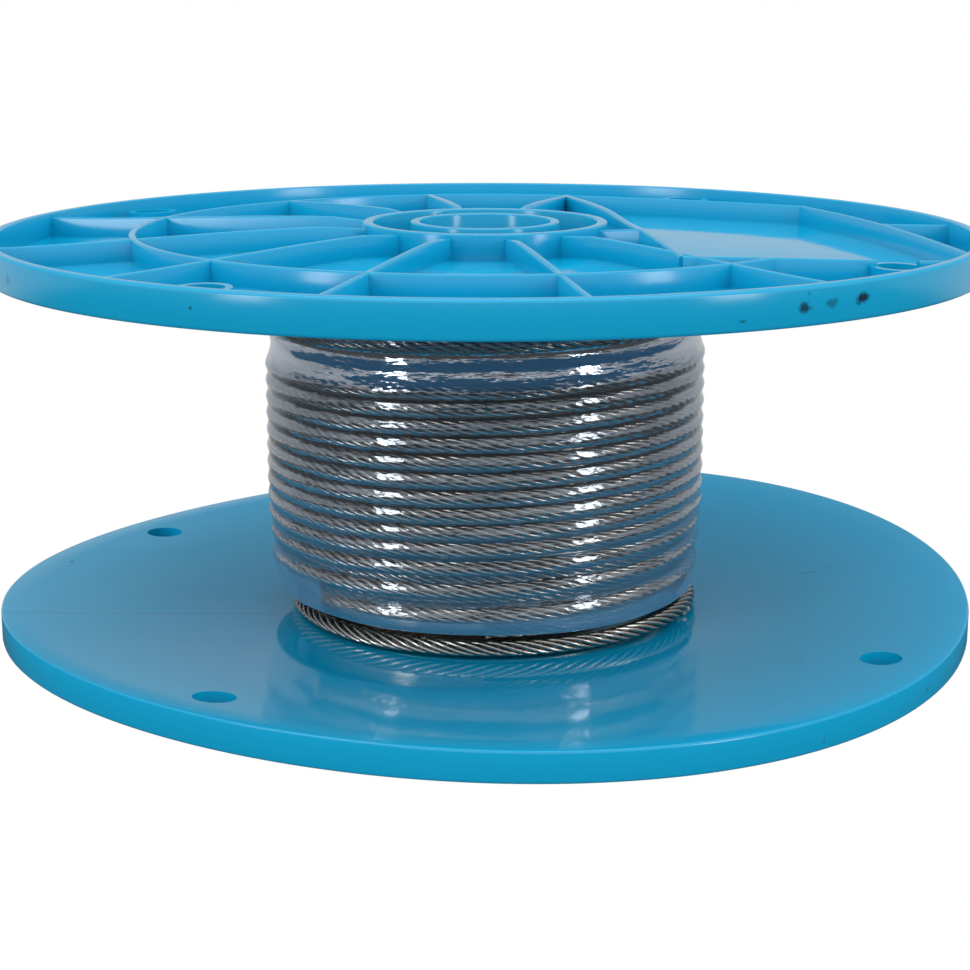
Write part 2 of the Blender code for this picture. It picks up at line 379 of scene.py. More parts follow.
@dataclass(frozen=True)
class DrawnSteel:
    """Drawn stainless wire: bright metal, a little darker where lubricant is left on it."""

    bright: str = "BCB9B3"
    dull: str = "94908A"

    def make(self) -> bpy.types.Material:
        """Build the material."""
        mat = bpy.data.materials.new("drawn_stainless_wire")
        mat.use_nodes = True
        tree = mat.node_tree
        shader = tree.nodes["Principled BSDF"]
        place = add(tree, "ShaderNodeTexCoord").outputs["Object"]
        # Handling film and drawing lubricant in patches about 3 mm across.
        patch = add(tree, "ShaderNodeTexNoise", {"Vector": place, "Scale": 350.0, "Detail": 3.0})
        tone = add(tree, "ShaderNodeMix",
                   {"Factor": patch.outputs["Fac"], 6: linear(self.dull), 7: linear(self.bright)},
                   data_type="RGBA")
        tree.links.new(tone.outputs[2], shader.inputs["Base Color"])
        rough = ranged(tree, patch.outputs["Fac"], low=0.14, high=0.27)
        tree.links.new(rough, shader.inputs["Roughness"])
        shader.inputs["Metallic"].default_value = 1.0
        return mat


@dataclass(frozen=True)
class ShrinkFilmFinish:
    """Clear shrink film: see-through face on, and mirror-like at a grazing angle."""

    tint: str = "D6E1ED"
    roughness: float = 0.07
    mirror: float = 0.90
    facing_veil: float = 0.09
    edge_veil: float = 0.66
    free_veil: float = 0.40
    strand_step: float = 0.00313
    strand_slope: float = 0.6
    sleeve_r: float = 0.0474
    ripple: float = 0.00002

    def make(self) -> bpy.types.Material:
        """Build the material.

        Returns:
            A partly see-through mirror. The metallic share is a stand-in: in the photo the film reflects
            more than one sheet of clear plastic would.
        """
        mat = bpy.data.materials.new("clear_shrink_film")
        mat.use_nodes = True
        tree = mat.node_tree
        shader = tree.nodes["Principled BSDF"]
        shader.inputs["Base Color"].default_value = linear(self.tint)
        shader.inputs["Metallic"].default_value = self.mirror
        shader.inputs["Roughness"].default_value = self.roughness
        facing = add(tree, "ShaderNodeLayerWeight", {"Blend": 0.25})
        veil = ranged(tree, facing.outputs["Facing"], low=self.facing_veil, high=self.edge_veil)
        # Film that stands free of the rope is given more body, which deepens its reflections.
        free = add(tree, "ShaderNodeAttribute", attribute_name="free").outputs["Fac"]
        more = maths(tree, "MULTIPLY_ADD", free, self.free_veil, veil, use_clamp=True)
        tree.links.new(more, shader.inputs["Alpha"])
        place = add(tree, "ShaderNodeTexCoord").outputs["Object"]
        part = add(tree, "ShaderNodeSeparateXYZ", {0: place}).outputs
        # The film clings to the rope, so every strand under it, 3.1 mm apart, shows as a slanting ripple.
        angle = maths(tree, "ARCTAN2", part["Y"], part["X"])
        along = maths(tree, "MULTIPLY", angle, self.sleeve_r / self.strand_step)
        slant = maths(tree, "MULTIPLY_ADD", part["Z"], 1 / (self.strand_slope * self.strand_step), along)
        phase = maths(tree, "MULTIPLY", slant, 2 * math.pi)
        wave = maths(tree, "SINE", phase)
        cling = add(tree, "ShaderNodeAttribute", attribute_name="cling").outputs["Fac"]
        strand = maths(tree, "MULTIPLY", wave, cling)
        ripple = add(tree, "ShaderNodeBump", {"Height": strand, "Strength": 1.0,
                                              "Distance": self.ripple}).outputs[0]
        squeeze = add(tree, "ShaderNodeMapping", {"Vector": place, "Scale": (1.0, 1.0, 4.0)})
        # Drawn creases of the shrunk film, about 6 mm long and 1.5 mm high.
        crease = add(tree, "ShaderNodeTexNoise", {"Vector": squeeze.outputs[0], "Scale": 160.0,
                                                  "Detail": 3.0})
        bump = add(tree, "ShaderNodeBump", {"Height": crease.outputs["Fac"], "Strength": 0.5,
                                            "Distance": 0.0005, "Normal": ripple})
        tree.links.new(bump.outputs[0], shader.inputs["Normal"])
        return mat


@dataclass
class FlangeShape:
    """How both flanges depart from flat, with sizes in metres."""

    barrel_r: float = 0.0261
    flange_r: float = FLANGE_R
    low_bow: float = 0.0054
    top_bow: float = 0.0023
    hub_drop: float = 0.0008
    drop_span: float = 0.12
    low_face: float = 0.0064
    top_face: float = 0.0831
    hang: tuple[float, ...] = (0.00078, 0.00102, 0.00096, 0.00242)

    def bowed_face(self, r: float) -> float:
        """Height of the lower flange's inner face at a radius, without its warp."""
        return self.low_face + self.low_bow * (r - self.barrel_r) / (self.flange_r - self.barrel_r)

    def low_lift(self, x: np.ndarray, y: np.ndarray) -> np.ndarray:
        """Height added to the lower flange at plan points: its bow, and its warp past the winding."""
        r = np.hypot(x, y)
        out = np.clip((r - self.barrel_r) / (self.flange_r - self.barrel_r), 0.0, 1.0)
        past = np.clip((r - 0.050) / (self.flange_r - 0.050), 0.0, 1.0)
        turn = np.arctan2(y, x)
        even, right, back, twist = self.hang
        warp = even + right * np.cos(turn) + back * np.sin(turn) + twist * np.sin(2 * turn)
        return self.low_bow * out + warp * past ** 1.5

    def top_lift(self, x: np.ndarray, y: np.ndarray) -> np.ndarray:
        """Height added to the upper flange at plan points: it bulges between its hub and its rim."""
        r = np.hypot(x, y)
        out = np.clip((r - self.barrel_r) / (self.flange_r - self.barrel_r), 0.0, 1.0)
        held = self.hub_drop * np.clip(1.0 - out / self.drop_span, 0.0, 1.0)
        return self.top_bow * (1.0 - out * out) ** 2 - held

    def bend(self, obj: bpy.types.Object) -> None:
        """Bend a flat spool mesh into the real one's shape."""
        mesh = obj.data
        co = np.empty(len(mesh.vertices) * 3)
        mesh.vertices.foreach_get("co", co)
        co = co.reshape(-1, 3)
        low = co[:, 2] < self.low_face + 0.001
        top = co[:, 2] > self.top_face - 0.001
        co[low, 2] += self.low_lift(co[low, 0], co[low, 1])
        co[top, 2] += self.top_lift(co[top, 0], co[top, 1])
        mesh.vertices.foreach_set("co", co.ravel())
        mesh.update()


@dataclass
class Spool:
    """The moulded spool: barrel, bore tube and two ribbed flanges."""

    shape: FlangeShape
    low_rim: float = 0.0064
    top_rim: float = 0.0072
    bore_r: float = 0.0140
    bore_wall: float = 0.0019
    barrel_wall: float = 0.0022
    web: float = 0.0020
    rim: float = 0.0024
    rib: float = 0.0015
    hub_web: float = 0.0020
    rib_drop: float = 0.0009
    mid_ring_r: float = 0.0745
    hole_r: float = 0.0042
    boss_r: float = 0.0056
    boss_drop: float = 0.0019
    hole_circle_r: float = 0.0935
    hole_angles: tuple[float, ...] = (57.5, 147.5, 237.5, 327.5)
    long_ribs: tuple[float, ...] = (163.5, 196.0, 226.0, 253.3, 280.5, 308.0)
    short_ribs: tuple[float, ...] = (129.0, 100.7, 74.0)
    panel_rib: Point2 = (336.5, 0.0352)
    hub_rib: float = 114.0
    ring_ends: Point2 = (74.0, 317.0)
    panel_left: tuple[Point2, ...] = ((0.0200, 0.0700), (0.0250, 0.0420), (0.0290, 0.0150), (0.0318, -0.0080),
                                      (0.0374, -0.0520))
    panel_near: tuple[Point2, ...] = ((0.0374, -0.0520), (0.0600, -0.0500), (0.0913, -0.0487))
    panel_right: tuple[Point2, ...] = ((0.0754, 0.0520), (0.0850, 0.0215), (0.0918, -0.0125),
                                       (0.0956, -0.0405))
    panel_far: tuple[Point2, ...] = ((0.0200, 0.0700), (0.0540, 0.0600), (0.0754, 0.0520))
    side_rib: tuple[Point2, ...] = ((0.0868, 0.0122), (0.1028, 0.0136))
    steps: int = 224
    tools: list = field(default_factory=list)

    def profile(self) -> list[Point2]:
        """Return the spool's profile without ribs, its corners rounded."""
        s = self.shape
        out, tube = self.bore_r + self.bore_wall, s.barrel_r - self.barrel_wall
        top = s.top_face + self.top_rim
        mid, rim = top / 2, s.flange_r - self.rim
        edge, lip = 0.0007, 0.0003
        points = [
            (self.bore_r, top, lip), (out, top, lip), (out, mid + self.hub_web / 2, 0),
            (tube, mid + self.hub_web / 2, 0),
            (tube, top, lip), (s.barrel_r, top, lip), (s.barrel_r, s.top_face + self.web, 0),
            (rim, s.top_face + self.web, 0), (rim, top, lip), (s.flange_r, top, edge),
            (s.flange_r, s.top_face, edge), (s.barrel_r, s.top_face, 0), (s.barrel_r, s.low_face, 0),
            (s.flange_r, s.low_face, edge), (s.flange_r, 0, edge), (rim, 0, lip),
            (rim, s.low_face - self.web, 0),
            (s.barrel_r, s.low_face - self.web, 0), (s.barrel_r, 0, lip), (tube, 0, lip),
            (tube, mid - self.hub_web / 2, 0), (out, mid - self.hub_web / 2, 0), (out, 0, lip),
            (self.bore_r, 0, lip),
        ]
        return refined(rounded(points), 0.006)

    def rib_paths(self) -> list[list[Point2]]:
        """Return the plan paths of one flange's ribs."""
        ring = self.shape.barrel_r - self.barrel_wall / 2
        rim = self.shape.flange_r - self.rim / 2
        paths = [[polar(ring, a), polar(rim, a)] for a in self.long_ribs]
        paths += [[polar(ring, a), polar(self.mid_ring_r, a)] for a in self.short_ribs]
        paths.append([polar(self.mid_ring_r, a) for a in np.linspace(*self.ring_ends, 82)])
        paths.append([polar(ring, self.panel_rib[0]), polar(self.panel_rib[1], self.panel_rib[0])])
        panel = (self.panel_left, self.panel_near, self.panel_right, self.panel_far)
        paths += [eased(list(wall)) for wall in panel]
        paths.append(list(self.side_rib))
        return [spaced(path, 0.005) for path in paths]

    def wall(self, name: str, path: list[Point2], low: float, high: float, up: bool) -> bpy.types.Object:
        """Make a closed wall along a path, its free edge rounded.

        Args:
            name: Name of the tool.
            path: Plan points.
            low: Lower height.
            high: Upper height.
            up: Whether the free edge is the upper one.

        Returns:
            The wall.
        """
        half, lip = self.rib / 2, 0.0004
        free, root = (high, low) if up else (low, high)
        way = 1.0 if up else -1.0
        section = [(-half * 1.15, root), (-half, free - way * lip),
                   (-half + 0.3 * lip, free - way * 0.3 * lip), (-half + lip, free), (half - lip, free),
                   (half - 0.3 * lip, free - way * 0.3 * lip), (half, free - way * lip), (half * 1.15, root)]
        verts: list[Point3] = []
        for i, (x, y) in enumerate(path):
            ax, ay = path[max(i - 1, 0)]
            bx, by = path[min(i + 1, len(path) - 1)]
            length = math.hypot(bx - ax, by - ay)
            nx, ny = -(by - ay) / length, (bx - ax) / length
            verts += [(x + nx * off, y + ny * off, z) for off, z in section]
        count = len(section)
        faces = [tuple(range(count)), tuple(range(len(verts) - 1, len(verts) - 1 - count, -1))]
        for k in range(len(path) - 1):
            a, b = k * count, (k + 1) * count
            faces += [(a + i, a + (i + 1) % count, b + (i + 1) % count, b + i) for i in range(count)]
        return recalculated(mesh_object(name, verts, faces))

    def post(self, name: str, at: Point2, radius: float, low: float, high: float) -> bpy.types.Object:
        """Make a closed round post."""
        count = 40
        turns = [2 * math.pi * i / count for i in range(count)]
        ring = [(at[0] + radius * math.cos(turn), at[1] + radius * math.sin(turn)) for turn in turns]
        verts = [(x, y, low) for x, y in ring] + [(x, y, high) for x, y in ring]
        faces = [tuple(range(count))[::-1], tuple(range(count, 2 * count))]
        faces += [(i, (i + 1) % count, count + (i + 1) % count, count + i) for i in range(count)]
        return recalculated(mesh_object(name, verts, faces))

    def combine(self, obj: bpy.types.Object, operation: str, tools: list[bpy.types.Object]) -> None:
        """Give the spool an exact Boolean with several tools, then remove them."""
        group = bpy.data.collections.new(operation)
        bpy.context.scene.collection.children.link(group)
        for tool in tools:
            group.objects.link(tool)
            bpy.context.scene.collection.objects.unlink(tool)
        step = obj.modifiers.new(operation, "BOOLEAN")
        step.operation, step.solver = operation, "EXACT"
        step.operand_type, step.collection = "COLLECTION", group
        evaluated(obj)
        for tool in tools:
            bpy.data.objects.remove(tool)
        bpy.data.collections.remove(group)

    def build(self, finish: MouldedPlastic) -> bpy.types.Object:
        """Build the spool as one closed mesh and dress it.

        Args:
            finish: The plastic.

        Returns:
            The spool's object.
        """
        s = self.shape
        top = s.top_face + self.top_rim
        obj = turned("spool_moulding", self.profile(), self.steps)
        adds = []
        for i, path in enumerate(self.rib_paths()):
            adds.append(self.wall(f"top_rib_{i}", path, s.top_face + self.web / 2, top - self.rib_drop, True))
            adds.append(self.wall(f"low_rib_{i}", path, self.rib_drop, s.low_face - self.web / 2, False))
        for i, angle in enumerate(self.hole_angles):
            at = polar(self.hole_circle_r, angle)
            adds.append(self.post(f"top_boss_{i}", at, self.boss_r, s.top_face + self.web / 2,
                                  top - self.boss_drop))
            adds.append(self.post(f"low_boss_{i}", at, self.boss_r, self.boss_drop,
                                  s.low_face - self.web / 2))
        path = [polar(self.bore_r + self.bore_wall / 2, self.hub_rib),
                polar(s.barrel_r - self.barrel_wall / 2, self.hub_rib)]
        adds.append(self.wall("hub_rib", path, self.rib_drop, top - self.rib_drop, True))
        self.combine(obj, "UNION", adds)
        holes = []
        for i, angle in enumerate(self.hole_angles):
            at = polar(self.hole_circle_r, angle)
            holes.append(self.post(f"low_hole_{i}", at, self.hole_r, -0.002, s.low_face + 0.002))
            holes.append(self.post(f"top_hole_{i}", at, self.hole_r, s.top_face - 0.002, top + 0.002))
        self.combine(obj, "DIFFERENCE", holes)
        s.bend(obj)
        smooth(obj, 32.0)
        obj.data.materials.clear()
        obj.data.materials.append(finish.make())
        return obj


@dataclass
class Winding:
    """The rope as it lies on the barrel: its path, turn by turn."""

    shape: FlangeShape
    rope_d: float = 0.0036
    wind_r: float = 0.0473
    layer: float = 0.00346
    pitch: float = 0.00356
    loose_r: float = 0.0446
    loose_shift: float = 0.0019
    lean: float = 0.0005
    narrow: float = 0.0009
    low_turns: tuple[float, ...] = (0.0172, 0.0226, 0.0274, 0.0312)
    turns: int = 13
    top_first_z: float = 0.0725
    top_turns: int = 3
    per_turn: int = 72

    def height(self, turn: np.ndarray) -> np.ndarray:
        """Height of the outer layer's rope after a number of turns from the front.

        Args:
            turn: Turns from the lowest covered one, whole at the front.

        Returns:
            Heights of the rope's centre: wider apart at the bottom, even above, with one wide gap under
            the top.
        """
        known = len(self.low_turns)
        even = self.low_turns[-1] + self.pitch * np.arange(1, self.turns - known + 1)
        leave, arrive = even[-1] + 0.3 * self.pitch, self.top_first_z - 0.4 * self.pitch
        top = self.top_first_z + self.pitch * np.arange(self.top_turns)
        at = np.concatenate([[-1.0], np.arange(self.turns), [self.turns - 0.68, self.turns - 0.42],
                             self.turns + np.arange(self.top_turns)])
        z = np.concatenate([[self.low_turns[0] - self.pitch], self.low_turns, even, [leave, arrive], top])
        return np.interp(turn, at, z)

    def eased_height(self, turn: np.ndarray) -> np.ndarray:
        """Height of the outer layer with its bends eased over a fifth of a turn, higher on the right."""
        even = sum(self.height(turn + shift) for shift in np.linspace(-0.1, 0.1, 9)) / 9
        return even + self.lean * np.sin(2 * math.pi * turn)

    def inset(self, z: np.ndarray) -> np.ndarray:
        """How far the lowest turns lie inside the rest."""
        return self.narrow * np.clip((0.031 - z) / 0.014, 0.0, 1.0)

    def outer_path(self) -> np.ndarray:
        """Centre line of the outer layer, from below up."""
        last = self.turns + self.top_turns - 1.15
        turn = np.linspace(-0.13, last, int((last + 0.13) * self.per_turn) + 1)
        angle = 2 * math.pi * (turn - 0.25)
        r = self.wind_r - self.rope_d / 2 + 0.00006 * np.sin(7.3 * turn)
        z = self.eased_height(turn) + 0.00010 * np.sin(angle * 1.7 + turn)
        start = np.clip((0.05 - turn) / 0.18, 0.0, 1.0) ** 2
        end = np.clip((turn - last + 0.2) / 0.2, 0.0, 1.0) ** 2
        r = r - (start + end) * self.layer * 0.9 - self.inset(z)
        return np.stack([r * np.cos(angle), r * np.sin(angle), z], 1)

    def loose_path(self) -> np.ndarray:
        """Centre line of the lowest, uncovered turn, resting on the flange."""
        turn = np.linspace(-0.80, 0.42, int(1.22 * self.per_turn) + 1)
        angle = 2 * math.pi * (turn - 0.25)
        r = self.loose_r - self.rope_d / 2
        base = self.shape.bowed_face(r)
        z = base + self.rope_d / 2 + 0.0001 + self.pitch * np.clip(turn, -0.1, 1.0) * 0.9 + 0.0004
        return np.stack([r * np.cos(angle) + self.loose_shift, r * np.sin(angle), z], 1)

    def under_path(self, low: float, high: float) -> np.ndarray:
        """Centre line of the next layer down between two heights, where the outer layer lets it show."""
        turns = (high - low) / self.pitch
        turn = np.linspace(0, turns, int(turns * self.per_turn) + 1)
        angle = 2 * math.pi * (turn - 0.25)
        r = self.wind_r - self.layer - self.rope_d / 2
        return np.stack([r * np.cos(angle), r * np.sin(angle), low + self.pitch * turn], 1)


@dataclass
class LaidRope:
    """Six strands of seven wires laid right-handed round a core, swept along a path."""

    rope_d: float = 0.0036
    strand_share: float = 0.345
    lay: float = 0.0188
    wire_lay: float = 0.0085
    step: float = 0.0014
    strands: int = 6
    lobes: int = 6

    def tree(self) -> bpy.types.NodeTree:
        """Build the node tree that lays the strands round a centre line.

        Returns:
            The tree, with named inputs for its sizes.
        """
        tree = bpy.data.node_groups.new("lay_strands", "GeometryNodeTree")
        face = tree.interface
        face.new_socket("Geometry", in_out="OUTPUT", socket_type="NodeSocketGeometry")
        face.new_socket("Geometry", in_out="INPUT", socket_type="NodeSocketGeometry")
        for name in ("Rope radius", "Strand radius", "Lay", "Wire lay", "Step"):
            face.new_socket(name, in_out="INPUT", socket_type="NodeSocketFloat")
        face.new_socket("Finish", in_out="INPUT", socket_type="NodeSocketMaterial")
        given = add(tree, "NodeGroupInput").outputs
        curve = add(tree, "GeometryNodeMeshToCurve", {"Mesh": given["Geometry"]})
        fine = add(tree, "GeometryNodeResampleCurve", {"Curve": curve.outputs[0], "Length": given["Step"]},
                   mode="LENGTH")
        level = add(tree, "GeometryNodeSetCurveNormal", {"Curve": fine.outputs[0]},
                    mode=NormalMode.LEVEL.value)
        copies = add(tree, "GeometryNodeDuplicateElements",
                     {"Geometry": level.outputs[0], "Amount": self.strands},
                     domain="SPLINE")
        # The copy's own number is kept on it, because later nodes no longer know it.
        kept = add(tree, "GeometryNodeStoreNamedAttribute", {"Geometry": copies.outputs[0], "Name": "strand",
                                                             "Value": copies.outputs["Duplicate Index"]},
                   data_type="INT", domain="CURVE")
        number = add(tree, "GeometryNodeInputNamedAttribute", {"Name": "strand"}, data_type="INT").outputs[0]
        along = add(tree, "GeometryNodeSplineParameter").outputs["Length"]
        turns = maths(tree, "DIVIDE", along, given["Lay"])
        share = maths(tree, "DIVIDE", number, float(self.strands))
        total = maths(tree, "ADD", turns, share)
        phase = maths(tree, "MULTIPLY", total, 2 * math.pi)
        cos = maths(tree, "COSINE", phase)
        sin = maths(tree, "SINE", phase)
        normal = add(tree, "GeometryNodeInputNormal").outputs[0]
        tangent = add(tree, "GeometryNodeInputTangent").outputs[0]
        side = add(tree, "ShaderNodeVectorMath", {0: tangent, 1: normal}, operation="CROSS_PRODUCT")
        part_a = add(tree, "ShaderNodeVectorMath", {0: normal, "Scale": cos}, operation="SCALE")
        part_b = add(tree, "ShaderNodeVectorMath", {0: side.outputs[0], "Scale": sin}, operation="SCALE")
        both = add(tree, "ShaderNodeVectorMath", {0: part_a.outputs[0], 1: part_b.outputs[0]})
        throw = maths(tree, "SUBTRACT", given["Rope radius"], given["Strand radius"])
        offset = add(tree, "ShaderNodeVectorMath", {0: both.outputs[0], "Scale": throw}, operation="SCALE")
        moved = add(tree, "GeometryNodeSetPosition",
                    {"Geometry": kept.outputs[0], "Offset": offset.outputs[0]})
        wires = maths(tree, "DIVIDE", along, given["Wire lay"])
        twist = maths(tree, "MULTIPLY", wires, -2 * math.pi)
        tilted = add(tree, "GeometryNodeSetCurveTilt", {"Curve": moved.outputs[0], "Tilt": twist})
        outline = add(tree, "GeometryNodeCurvePrimitiveCircle",
                      {"Resolution": self.lobes * 2, "Radius": given["Strand radius"]})
        # Every second point lies in the groove between two outer wires.
        order = add(tree, "GeometryNodeInputIndex").outputs[0]
        odd = maths(tree, "MODULO", order, 2.0)
        groove = maths(tree, "MULTIPLY", odd, -0.27)
        where = add(tree, "GeometryNodeInputPosition").outputs[0]
        pull = add(tree, "ShaderNodeVectorMath", {0: where, "Scale": groove}, operation="SCALE")
        lobed = add(tree, "GeometryNodeSetPosition",
                    {"Geometry": outline.outputs[0], "Offset": pull.outputs[0]})
        swept = add(tree, "GeometryNodeCurveToMesh",
                    {"Curve": tilted.outputs[0], "Profile Curve": lobed.outputs[0], "Fill Caps": True})
        shaded = add(tree, "GeometryNodeSetShadeSmooth", {"Geometry": swept.outputs[0]})
        real = add(tree, "GeometryNodeRealizeInstances", {"Geometry": shaded.outputs[0]})
        done = add(tree, "GeometryNodeSetMaterial",
                   {"Geometry": real.outputs[0], "Material": given["Finish"]})
        add(tree, "NodeGroupOutput", {0: done.outputs[0]})
        return tree

    def lay_along(self, name: str, path: np.ndarray, tree: bpy.types.NodeTree,
                  finish: bpy.types.Material) -> bpy.types.Object:
        """Lay the rope along a centre line.

        Args:
            name: Name of the piece.
            path: Points of the centre line.
            tree: The strand-laying tree.
            finish: The wire's material.

        Returns:
            The rope as a plain mesh.
        """
        mesh = bpy.data.meshes.new(name)
        mesh.from_pydata([tuple(p) for p in path], [(i, i + 1) for i in range(len(path) - 1)], [])
        obj = bpy.data.objects.new(name, mesh)
        bpy.context.scene.collection.objects.link(obj)
        step = obj.modifiers.new("lay", "NODES")
        step.node_group = tree
        sizes = {"Rope radius": self.rope_d / 2, "Strand radius": self.rope_d * self.strand_share / 2,
                 "Lay": self.lay, "Wire lay": self.wire_lay, "Step": self.step, "Finish": finish}
        for item in tree.interface.items_tree:
            if item.in_out == "INPUT" and item.name in sizes:
                step[item.identifier] = sizes[item.name]
        evaluated(obj)
        return obj


@dataclass
class WoundRope:
    """All of the rope: the turns that show and a plain core for the layers under them."""

    winding: Winding
    rope: LaidRope = field(default_factory=LaidRope)
    gap: float = 0.0003
    end_r: float = 0.0392

    def core(self, finish: bpy.types.Material) -> bpy.types.Object:
        """Make the inner layers as one turned body whose turns show on its outside and ends."""
        w, s = self.winding, self.winding.shape
        inner, outer = s.barrel_r + self.gap, w.wind_r - w.layer - 0.0006
        low = s.bowed_face(outer) + self.gap
        high = s.top_face - self.gap
        points: list[Point2] = [(inner, high - 0.0006)]
        layers = 5
        width = (outer - inner) / layers
        arc = np.linspace(0.15, 0.85, 5)
        points += [(inner + (i + t) * width, high - 0.0012 * (1 - math.sin(math.pi * t)))
                   for i in range(layers) for t in arc]
        count = int((high - low) / w.pitch)
        tall = (high - low) / count
        points += [(min(outer - 0.0016 * (1 - math.sin(math.pi * t)), self.end_r if i > count - 3 else outer),
                    high - (i + t) * tall) for i in range(count) for t in arc]
        for i in reversed(range(layers)):
            for t in arc[::-1]:
                r = inner + (i + t) * width
                if r < self.end_r - 0.0004:
                    points.append((r, s.bowed_face(r) + self.gap + 0.0012 * (1 - math.sin(math.pi * t))))
        obj = turned("rope_inner_layers", points, 96)
        smooth(obj, 50.0)
        obj.data.materials.append(finish)
        return obj

    def build(self, finish: DrawnSteel) -> list[bpy.types.Object]:
        """Build the rope's pieces.

        Args:
            finish: The wire.

        Returns:
            The pieces, the first of which carries the lowest turn.
        """
        steel = finish.make()
        tree = self.rope.tree()
        outer = self.winding.outer_path()
        third = len(outer) // 3
        parts = [outer[:third + 1], outer[third:2 * third + 1], outer[2 * third:]]
        pieces = [self.rope.lay_along("rope_loose_turn", self.winding.loose_path(), tree, steel)]
        for name, path in zip(("rope_lower_turns", "rope_middle_turns", "rope_upper_turns"), parts):
            pieces.append(self.rope.lay_along(name, path, tree, steel))
        for name, low, high in (("rope_second_layer_low", 0.0135, 0.0260),
                                ("rope_second_layer_high", 0.0610, 0.0760)):
            pieces.append(self.rope.lay_along(name, self.winding.under_path(low, high), tree, steel))
        pieces.append(self.core(steel))
        return pieces


@dataclass
class FilmSleeve:
    """The shrink film: drawn into the grooves between the turns, loose at its lower edge."""

    winding: Winding
    thickness: float = 0.00005
    clear: float = 0.00012
    sag: float = 0.00040
    tuck: float = 0.0011
    pocket: float = 0.0022
    low_edge: float = 0.0132
    around: int = 208
    up: int = 200
    tab_r: float = 0.0474
    tab: tuple[Point2, ...] = ((337.2, 0.0198), (344.5, 0.0158), (330.6, 0.0148), (328.2, 0.0166))

    def grooves(self, angle: np.ndarray, z: np.ndarray) -> tuple[np.ndarray, np.ndarray]:
        """Find the turns above and below points on the winding.

        Args:
            angle: Azimuths in radians.
            z: Heights in metres.

        Returns:
            The distances down to the turn below and up to the turn above, 1 where there is none.
        """
        w = self.winding
        lead = (angle / (2 * math.pi) + 0.25) % 1.0
        above, below = np.full(z.shape, 1.0), np.full(z.shape, 1.0)
        for k in range(-1, w.turns + w.top_turns + 1):
            real = k + lead > -0.13
            gap = z - w.eased_height(k + lead)
            above = np.where(real & (gap <= 0) & (-gap < above), -gap, above)
            below = np.where(real & (gap >= 0) & (gap < below), gap, below)
        return below, above

    def radius(self, angle: np.ndarray, z: np.ndarray, edge: np.ndarray) -> np.ndarray:
        """Radius of the film at points on the winding.

        Args:
            angle: Azimuths in radians.
            z: Heights in metres.
            edge: Heights of the film's lower edge there.

        Returns:
            The film's radii.
        """
        w = self.winding
        below, above = self.grooves(angle, z)
        span = below + above
        free = span > 0.02
        share = np.clip(below / span, 0.0, 1.0)
        dip = self.sag * np.clip(span / w.pitch, 0.6, 2.6) ** 1.2 * np.sin(math.pi * share) ** 1.2
        # Where turns are left out the film is drawn in, most of all just under the top turn. Beside
        # that turn it reaches about 0.4 mm into the rope.
        drawn = self.pocket * np.clip(2.2 * np.abs(np.sin(angle)) - 0.25, 0.0, 1.0)
        pocket = drawn * np.sin(math.pi * np.clip(share, 0.0, 1.0) ** 2.2) ** 0.8
        dip = np.where(span > 1.8 * w.pitch, np.maximum(dip, pocket), dip)
        hang = np.clip(above / np.maximum(above + z - edge, 1e-5), 0.0, 1.0)
        dip = np.where(free, self.tuck * hang ** 1.5 * (above < 0.5), dip)
        wrinkle = 0.00006 * np.sin(9 * angle + 900 * z) * np.sin(5 * angle - 410 * z + 1.3)
        return w.wind_r + self.clear - w.inset(z) - dip + wrinkle

    def folded_tab(self, steel_gap: float = 0.0002) -> bpy.types.Object:
        """Make the small folded-back corner of film at the lower right."""
        outer = [(*polar(self.tab_r + steel_gap, a), z) for a, z in self.tab]
        inner = [(*polar(self.tab_r, a), z) for a, z in self.tab]
        middle = sum((Vector(p) for p in outer), Vector()) / 4
        outer.append(tuple(middle * 1.004))
        count = len(self.tab)
        faces = [(i, (i + 1) % count, count) for i in range(count)]
        faces.append(tuple(range(count + 1, 2 * count + 1))[::-1])
        faces += [(i, count + 1 + i, count + 1 + (i + 1) % count, (i + 1) % count) for i in range(count)]
        return recalculated(mesh_object("film_tab", outer + inner, faces))

    def sleeve(self) -> bpy.types.Object:
        """Make the sleeve with its real thickness."""
        high = float(self.winding.shape.top_face + self.winding.shape.top_lift(
            np.array([self.winding.wind_r]), np.array([0.0]))[0]) - 0.0004
        angle = np.linspace(0, 2 * math.pi, self.around, endpoint=False)
        share = np.linspace(0, 1, self.up)
        edge = self.low_edge + 0.0005 * (1 + np.sin(angle * 2 + 0.6)) / 2 + 0.0001 * (1 + np.sin(angle * 7))
        z = edge[None, :] + (high - edge[None, :]) * share[:, None]
        grid = np.broadcast_to(angle[None, :], z.shape)
        r = self.radius(grid, z, np.broadcast_to(edge[None, :], z.shape))
        verts = np.stack([r * np.cos(grid), r * np.sin(grid), z], -1).reshape(-1, 3)
        n = self.around
        faces = [(k * n + i, k * n + (i + 1) % n, (k + 1) * n + (i + 1) % n, (k + 1) * n + i)
                 for k in range(self.up - 1) for i in range(n)]
        obj = mesh_object("film_sleeve", verts, faces)
        below, above = self.grooves(grid, z)
        nearest = np.minimum(below, above)
        cling = np.clip(1.15 - nearest / (0.42 * self.winding.pitch), 0.0, 1.0)
        free = np.clip((below + above) / self.winding.pitch - 1.4, 0.0, 1.0) * (1.0 - cling)
        for name, values in (("cling", cling), ("free", free)):
            layer = obj.data.attributes.new(name, "FLOAT", "POINT")
            layer.data.foreach_set("value", values.ravel().astype(np.float32))
        step = obj.modifiers.new("film", "SOLIDIFY")
        step.thickness, step.offset = self.thickness, 1.0
        evaluated(obj)
        smooth(obj, 60.0)
        return obj

